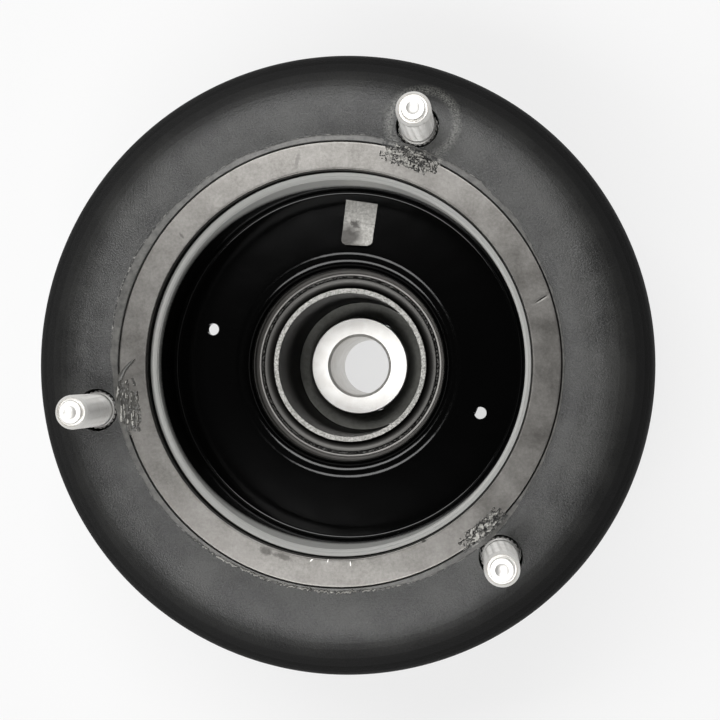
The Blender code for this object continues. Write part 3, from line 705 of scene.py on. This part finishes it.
rubber_line = half_section([
    (seat_r + 0.3 * mm, seat_z - 0.45 * mm), (seat_r + 0.35 * mm, seat_z + 0.02 * mm),
    (land_r - 0.3 * mm, seat_z + 0.05 * mm), (land_r + 2.2 * mm, rubber_top - 0.12 * mm),
    (land_r + 4.5 * mm, rubber_top),
    bend((rubber_r - crown_w, rubber_top - crown_r), crown_r, 90, 90 - crown_lean, 16),
    bend((rubber_r - top_round, top_round_z), top_round, 90 - crown_lean, 0, 16),
    bend((rubber_r - low_round, spring_seat + low_round), low_round, 0, -90, 10),
    bend((spigot_r + 2.0 * mm, spring_seat - 2.0 * mm), 2.0 * mm, 90, 180, 7),
    bend((spigot_r - 2.0 * mm, spring_seat - 8.0 * mm), 2.0 * mm, 0, -90, 7),
    (inner_r, spring_seat - 10.0 * mm),
    (inner_r, slot_floor - rim_bend + bowl_t),
    (inner_r + rim_bend - bowl_t, slot_floor),
    (plate_r + 0.3 * mm, slot_floor), (plate_r + 0.3 * mm, drop + 0.3 * mm),
    (seat_r + 3.5 * mm, drop + 0.3 * mm), (seat_r + 0.5 * mm, seat_z - 0.35 * mm)], 1.5 * mm)


def rubber_relief(r, t, z):
    """Unevenness of the moulding's top: slow waves, a faint ridge round the first stud where the
    mould's pin was let in, and small pips where air left the mould."""
    x, y = r * np.cos(t), r * np.sin(t)
    top = np.clip((z - seat_z) / (0.4 * mm), 0.0, 1.0) * (r > land_r)
    height = 0.05 * mm * ripple(x, y, 26.0 * mm, 41) + 0.02 * mm * ripple(x, y, 7.0 * mm, 42)
    away = np.hypot(x - stud_spots[0][0], y - stud_spots[0][1]) + 0.5 * mm * ripple(x, y, 9.0 * mm, 43)
    height += 0.14 * mm * np.exp(-((away - 10.6 * mm) / (1.1 * mm)) ** 2)
    for px, py, size in ((50.9, -64.1, 0.55), (36.1, 66.0, 0.35), (-52.0, -48.0, 0.3),
                         (8.0, -84.0, 0.3)):
        height += 0.55 * mm * bump(x, y, (px * mm, py * mm), (size * mm, size * mm))
    return top * height


flange = new_piece("rubber_flange_moulding", [skin(turn(rubber_line, 680, rubber_relief))], rubber)
drill(flange, [(0.0, seat_z + 9.0 * mm), (well_r, seat_z + 9.0 * mm),
               (well_r, slot_floor + 0.15 * mm), (8.8 * mm, slot_floor + 0.15 * mm),
               (8.8 * mm, head_top - 3.3 * mm), (0.0, head_top - 3.3 * mm)], 96, stud_spots)
for shaded_side_rubber in shaded_side_rubbers:
    flange.data.materials.append(shaded_side_rubber)
middles = np.array([face.center for face in flange.data.polygons])
reaches = np.hypot(middles[:, 0], middles[:, 1])
# Outside 81 mm each band of faces takes the next of the five shaded copies of the rubber.
bands = np.searchsorted(np.array([81.0, 83.5, 86.0, 88.3, 90.3]) * mm, reaches)
flange.data.polygons.foreach_set("material_index", bands.astype(np.int32))
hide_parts("rubber_flange")
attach(flange, "root")

# --- Mould flash ----------------------------------------------------------------------------
# Thin skin of rubber that crept under the mould's shut-off round the seat: a smooth land beside
# the ring with a torn outer edge, shredded scraps beside each stud, and a loose sliver.

# The skin is the same rubber, left smooth by the steel mould, and painted a lighter grey than the rubber
# as a painted sheen.
flash_skin, tree, shader, place = new_finish("thin_smooth_rubber_flash_painted_sheen", "5a5956", 0.34, IOR=1.52)
patchy = add_node(tree, "TexNoise", {"Scale": 420.0, "Detail": 5.0, "Roughness": 0.7}, {"Vector": place})
patches = add_node(tree, "MapRange", {1: 0.35, 2: 0.65}, {0: patchy})
shade = add_node(tree, "Mix", {"data_type": "RGBA", 6: "41403e", 7: "656460"}, {0: patches})
relief = add_node(tree, "Bump", {"Strength": 0.4, "Distance": 0.08 * mm}, {"Height": patchy})
link_inputs(shader, {"Base Color": shade, "Normal": relief})

# Where it is torn the skin is crumpled and scuffed, with pale scuffs; it is also painted by height, pale
# on the tips as painted light and nearly black in the folds as painted shade.
torn_skin, tree, shader, place = new_finish("torn_scuffed_rubber", "5a5955", 0.45, IOR=1.52)
level = add_node(tree, "SeparateXYZ", {}, {"Vector": place}).outputs["Z"]
fleck = add_node(tree, "TexNoise", {"Scale": 700.0, "Detail": 4.0, "Roughness": 0.7}, {"Vector": place})
# Painted light and shade by height: higher folds paler, lower folds nearly black.
tips = add_node(tree, "MapRange", {1: seat_z + 0.15 * mm, 2: seat_z + 0.70 * mm}, {0: level})
painted_light_by_height = add_node(tree, "Math", {"operation": "MULTIPLY_ADD", 1: 1.5, 2: -0.35, "use_clamp": True},
                  {0: tips})
scuffs = add_node(tree, "MapRange", {1: 0.48, 2: 0.68, 3: 0.0, 4: 0.6}, {0: fleck})
scuffs_and_painted_light = add_node(tree, "Math", {"operation": "ADD", "use_clamp": True}, {0: painted_light_by_height, 1: scuffs})
shade = add_node(tree, "Mix", {"data_type": "RGBA", 6: "131312", 7: "c4c2bc"}, {0: scuffs_and_painted_light})
relief = add_node(tree, "Bump", {"Strength": 0.5, "Distance": 0.12 * mm}, {"Height": fleck})
link_inputs(shader, {"Base Color": shade, "Normal": relief})


def land_strip(columns=2000, rows=14):
    """Strip round the seat: r from the groove to the land's edge, z = seat + film thickness, with
    a ragged raised edge where it is torn at angle t, and next to nothing where it was trimmed."""
    t = np.linspace(0.0, 2.0 * np.pi, columns, endpoint=False)[None, :]
    share = np.linspace(0.0, 1.0, rows)[:, None]
    degrees = np.degrees(t) % 360.0
    torn = np.exp(-((degrees - 258.0) / 26.0) ** 4)
    film = np.exp(-((degrees - 158.0) / 17.0) ** 4)
    trimmed = np.exp(-(((degrees + 180.0) % 360.0 - 180.0) / 38.0) ** 6)
    x, y = 66.5 * mm * np.cos(t), 66.5 * mm * np.sin(t)
    width = (2.0 + 0.25 * ripple(x, y, 14.0 * mm, 51) + film * 1.3 - trimmed * 1.6
             - torn * 0.9 + torn * 0.35 * ripple(x, y, 1.3 * mm, 52)) * mm
    r = seat_r + 0.32 * mm + np.maximum(width, 0.5 * mm) * share
    lip = np.exp(-((share - 0.90 + 0.14 * torn) / (0.07 + 0.13 * torn)) ** 2)
    height = 0.16 * mm + lip * (0.07 * mm + torn * 0.60 * mm * np.clip(
        0.7 + ripple(x + r, y, 1.3 * mm, 53), 0.0, 2.0) + film * 0.10 * mm)
    z = seat_z + height - 0.35 * mm * np.clip((share - 0.95) / 0.05, 0.0, 1.0) \
        - 0.5 * mm * np.clip((0.03 - share) / 0.03, 0.0, 1.0)
    top = np.stack([r * np.cos(t), r * np.sin(t), z + 0.0 * t], axis=-1)
    base = top[::-1].copy()
    base[..., 2] = seat_z - 0.4 * mm
    return np.vstack([top[::-1], base[::-1]])


def closed_patch(top, base):
    """Closed skin of an open grid and its base: both sheets, and walls along their four edges."""
    rows, columns = top.shape[:2]
    upper_points, upper_faces = skin(top, False, False)
    lower_points, lower_faces = skin(base, False, False)
    index = np.arange(rows * columns).reshape(rows, columns)
    edge = np.concatenate([index[0, :-1], index[:-1, -1], index[-1, :0:-1], index[:0:-1, 0]])
    after = np.roll(edge, -1)
    count = rows * columns
    walls = np.column_stack([after, edge, edge + count, after + count])
    return (np.vstack([upper_points, lower_points]),
            np.vstack([upper_faces[:, ::-1], lower_faces + count, walls[:, ::-1]]))


def torn_scrap(middle, half_turn, r_in, r_out, seed, fold=0.26, crumb=0.22, columns=130, rows=42):
    """Patch of shredded skin on the seat's edge: height = ragged mask * (folds + crumbs), where the
    mask falls below the seat at the patch's outline and in its holes. Its base is in the plate."""
    t = np.radians(middle) + np.radians(half_turn) * np.linspace(-1.0, 1.0, columns)[None, :]
    share = np.linspace(0.0, 1.0, rows)[:, None]
    r = r_in + (r_out - r_in) * share + 0.0 * t
    x, y = r * np.cos(t), r * np.sin(t)
    along = np.linspace(-1.0, 1.0, columns)[None, :]
    mask = 0.80 - along ** 2 - 0.75 * (2.0 * share - 1.0) ** 2
    mask = mask + 0.34 * ripple(x, y, 3.4 * mm, seed) + 0.22 * ripple(x, y, 1.5 * mm, seed + 3)
    folds = ripple(r * t * 0.45, r * 1.2, 1.9 * mm, seed + 1)
    crumbs = ripple(x, y, 1.1 * mm, seed + 2, 40)
    height = np.clip(mask * 3.0, -0.5, 1.0) * (0.36 + fold * folds + crumb * crumbs) * mm
    z = seat_z + np.clip(height, -0.15 * mm, 1.1 * mm)
    top = np.stack([x, y, z], axis=-1)
    base = top.copy()
    base[..., 2] = seat_z - 0.5 * mm
    return closed_patch(top, base)


def sliver(start, end, width, lift):
    """Loose sliver: a flat strip from start to end, its cross section a low arch, its tip lifted."""
    start, end = np.array(start), np.array(end)
    s = np.linspace(0.0, 1.0, 60)[:, None]
    c = np.linspace(-1.0, 1.0, 13)[None, :]
    way = (end - start) / np.linalg.norm(end - start)
    side = np.array([-way[1], way[0]])
    half = width / 2.0 * (1.0 - s ** 3) * (0.8 + 0.2 * np.sin(9.0 * s))
    bow = 0.5 * mm * np.sin(np.pi * s)
    x = start[0] + (end - start)[0] * s + side[0] * (half * c + bow)
    y = start[1] + (end - start)[1] * s + side[1] * (half * c + bow)
    z = seat_z + lift * s * (0.4 + 0.6 * s) + 0.30 * mm * (1.0 - c ** 2) + 0.12 * mm
    top = np.stack([x, y, z], axis=-1)
    base = top.copy()
    base[..., 2] -= 0.22 * mm
    return closed_patch(top, base)


flash = new_piece("mould_flash", [
    skin(land_strip()),
    torn_scrap(70.0, 8.0, 60.4 * mm, 66.4 * mm, 61),
    torn_scrap(-168.6, 7.6, 60.0 * mm, 66.8 * mm, 64, 0.36, 0.07),
    torn_scrap(-48.2, 7.2, 61.4 * mm, 66.0 * mm, 67),
    sliver((-65.2 * mm, -4.9 * mm), (-60.0 * mm, 1.5 * mm), 1.7 * mm, 0.6 * mm)], flash_skin, 50.0)
flash.data.materials.append(torn_skin)
middles = np.array([face.center for face in flash.data.polygons])
turns = np.degrees(np.arctan2(middles[:, 1], middles[:, 0]))
reaches = np.hypot(middles[:, 0], middles[:, 1])
# Torn faces: the scraps, each (middle, half width, outer reach, height), and the land's raised edge.
scraps = [(np.abs(turns - a) < w) & (reaches < r * mm) & (middles[:, 2] > seat_z + h * mm)
          for a, w, r, h in ((70.0, 8.0, 66.5, -1.0), (-168.6, 7.6, 66.9, 0.58),
                             (-48.2, 7.2, 66.1, -1.0))]
ragged = (middles[:, 2] > seat_z + 0.195 * mm) & (turns > -161.0) & (np.abs(turns) <= 176.3)
torn = np.logical_or.reduce(scraps) | ragged
flash.data.polygons.foreach_set("material_index", torn.astype(np.int32))
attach(flash, "root")

# --- Label ----------------------------------------------------------------------------------
# Small blank paper label stuck on the bowl's floor. It is creased across, its inner half has
# crumpled and lifted, with worn round corners, and one side is painted dark as shade.

label_grid_u = np.linspace(0.0, 1.0, 90)[:, None]
label_grid_v = np.linspace(0.0, 1.0, 60)[None, :]


def label_sheet(u, v):
    """Paper between four corners: flat outside, creased at u = 0.5 with waves 0.2 mm high beyond,
    its end curled up, and its last two corners worn round by narrowing it past u = 0.88."""
    corners = np.array([(-0.1, 52.2), (9.9, 50.6), (-1.8, 37.9), (8.0, 37.2)]) * mm
    v = 0.5 + (v - 0.5) * (1.0 - 0.32 * np.clip((u - 0.88) / 0.12, 0.0, 1.0) ** 2.5)
    x, y = [(1 - u) * ((1 - v) * a + v * b) + u * ((1 - v) * c + v * d) for a, b, c, d in corners.T]
    crease = np.exp(-((u - 0.50) / 0.018) ** 2) + 0.7 * np.exp(-((u - 0.62 + 0.12 * v) / 0.02) ** 2)
    wrinkle = ripple(x, y, 3.2 * mm, 71) * np.clip((u - 0.42) / 0.12, 0.0, 1.0)
    lift = 0.8 * mm * np.clip((u - 0.55) / 0.45, 0.0, 1.0) ** 2 * (0.35 + 0.65 * v)
    curl = 0.7 * mm * np.clip((u - 0.92) / 0.08, 0.0, 1.0) ** 2
    z = floor_z + 0.50 * mm + 0.20 * mm * crease + 0.32 * mm * wrinkle + lift + curl
    return np.stack([x, y, np.maximum(z, floor_z + 0.25 * mm) + 0.0 * v], axis=-1)


# Uncoated label paper, off-white, slightly fibrous, with painted shade on one lifted corner and in a
# crumple by the crease.
paper, tree, shader, place = new_finish("uncoated_label_paper", "c9c6bf", 0.75)
fibre = add_node(tree, "TexNoise", {"Scale": 900.0, "Detail": 5.0, "Roughness": 0.7}, {"Vector": place})
soiled = add_node(tree, "TexNoise", {"Scale": 300.0, "Detail": 3.0}, {"Vector": place})
fibrous = add_node(tree, "MapRange", {1: 0.35, 2: 0.65}, {0: fibre})
unshaded = add_node(tree, "Mix", {"data_type": "RGBA", 6: "989691", 7: "d0cec9"}, {0: fibrous})
# Painted shade: darker on the lifted lower-left corner and in a crumple by the crease.
wander = add_node(tree, "Math", {"operation": "MULTIPLY_ADD", 1: 6.0 * mm},
                  {0: soiled, 2: away_from(tree, place, (0.6 * mm, 40.2 * mm))})
corner_shade = add_node(tree, "MapRange", {1: 4.6 * mm, 2: 9.0 * mm, 3: 0.95, 4: 0.0}, {0: wander})
fold = add_node(tree, "Math", {"operation": "MULTIPLY_ADD", 1: 3.0 * mm},
                {0: fibre, 2: away_from(tree, place, (2.8 * mm, 44.1 * mm))})
crease_shade = add_node(tree, "MapRange", {1: 2.1 * mm, 2: 3.4 * mm, 3: 0.9, 4: 0.0}, {0: fold})
painted_shade = add_node(tree, "Math", {"operation": "MAXIMUM"}, {0: corner_shade, 1: crease_shade})
paper_with_painted_shade = add_node(tree, "Mix", {"data_type": "RGBA", 7: "5a5855"}, {0: painted_shade, 6: unshaded})
relief = add_node(tree, "Bump", {"Strength": 0.3, "Distance": 0.05 * mm}, {"Height": fibre})
link_inputs(shader, {"Base Color": paper_with_painted_shade, "Normal": relief})

sheet_top = label_sheet(label_grid_u, label_grid_v)
sheet_base = sheet_top.copy()
sheet_base[..., 2] -= 0.10 * mm
label = new_piece("label_paper", [closed_patch(sheet_top, sheet_base)], paper)
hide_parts("label")
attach(label, "root")

# --- Floor, light and camera ----------------------------------------------------------------
# Pale sweep that curves up into a wall all round, soft boxes on two sides above, a dark gap
# overhead where the camera hangs, and the camera at the photograph's place.

sweep_r = 1.5
sweep_line = np.vstack([[(0.0, 0.0), (sweep_r, 0.0)],
                        bend((sweep_r, 0.5), 0.5, -90, 0, 16), [(sweep_r + 0.5, 0.9)]])
sweep_turns = np.linspace(0.0, 2.0 * np.pi, 96, endpoint=False)
sweep_points = np.stack([sweep_line[:, :1] * np.cos(sweep_turns),
                         sweep_line[:, :1] * np.sin(sweep_turns),
                         sweep_line[:, 1:] + 0.0 * sweep_turns], axis=-1)

# Matt pale paint that also glows to the camera and in reflections, so that the ground is white.
studio_white, tree, shader, _ = new_finish("matt_pale_grey_paint", "989898", 0.9)
path = add_node(tree, "LightPath", {})
seen = add_node(tree, "Math", {"operation": "ADD", "use_clamp": True},
                {0: path.outputs["Is Camera Ray"], 1: path.outputs["Is Glossy Ray"]})
seen = add_node(tree, "Math", {"operation": "ADD", "use_clamp": True},
                {0: seen, 1: path.outputs["Is Transmission Ray"]})
glow = add_node(tree, "Math", {"operation": "MULTIPLY", 1: 0.68}, {0: seen})
white = add_node(tree, "Emission", {"Color": (1.0, 1.0, 1.0, 1.0)}, {"Strength": glow})
both = add_node(tree, "AddShader", {}, {0: shader, 1: white})
link_inputs(tree.nodes["Material Output"], {"Surface": both})
sweep = new_piece("sweep", [skin(sweep_points, False)], studio_white, 180.0)


def soft_box(name, azimuth, lean, distance, size, power):
    """Rectangular lamp aimed at the seat: azimuth from +X, lean from straight up, in degrees."""
    data = bpy.data.lights.new(name, "AREA")
    data.shape, data.size, data.size_y, data.energy = "RECTANGLE", size[0], size[1], power
    a, e = math.radians(azimuth), math.radians(lean)
    back = Vector((math.sin(e) * math.cos(a), math.sin(e) * math.sin(a), math.cos(e)))
    lamp = bpy.data.objects.new(name, data)
    lamp.location = Vector((0.0, 0.0, seat_z)) + back * distance
    lamp.rotation_mode = "QUATERNION"
    lamp.rotation_quaternion = back.to_track_quat("Z", "Y")
    bpy.context.scene.collection.objects.link(lamp)


soft_box("soft_box_back", 102.0, 26.0, 0.8, (0.60, 0.26), 4.3)
soft_box("soft_box_front", -106.0, 26.0, 0.8, (0.60, 0.26), 3.9)

world = bpy.data.worlds.new("studio")
world.use_nodes = True
world.node_tree.nodes["Background"].inputs["Color"].default_value = (0.5, 0.5, 0.5, 1.0)
world.node_tree.nodes["Background"].inputs["Strength"].default_value = 0.05
bpy.context.scene.world = world

# Place, aim and roll of the camera are those that the photograph's circles and studs give.
camera_data = bpy.data.cameras.new("camera")
camera_data.sensor_width, camera_data.lens = 36.0, 55.0
camera_data.clip_start, camera_data.clip_end = 0.01, 20.0
camera = bpy.data.objects.new("camera", camera_data)
camera.location = (0.0423, -0.0034, seat_z + 0.318)
aim = Vector((0.0072, 0.0011, seat_z)) - camera.location
right = aim.cross(Vector((0.0016, 1.0, 0.0141))).normalized()
camera.rotation_mode = "QUATERNION"
camera.rotation_quaternion = Matrix((right, right.cross(aim.normalized()), -aim.normalized())) \
    .transposed().to_quaternion()
bpy.context.scene.collection.objects.link(camera)
bpy.context.scene.camera = camera
bpy.context.scene.view_settings.view_transform = "Standard"
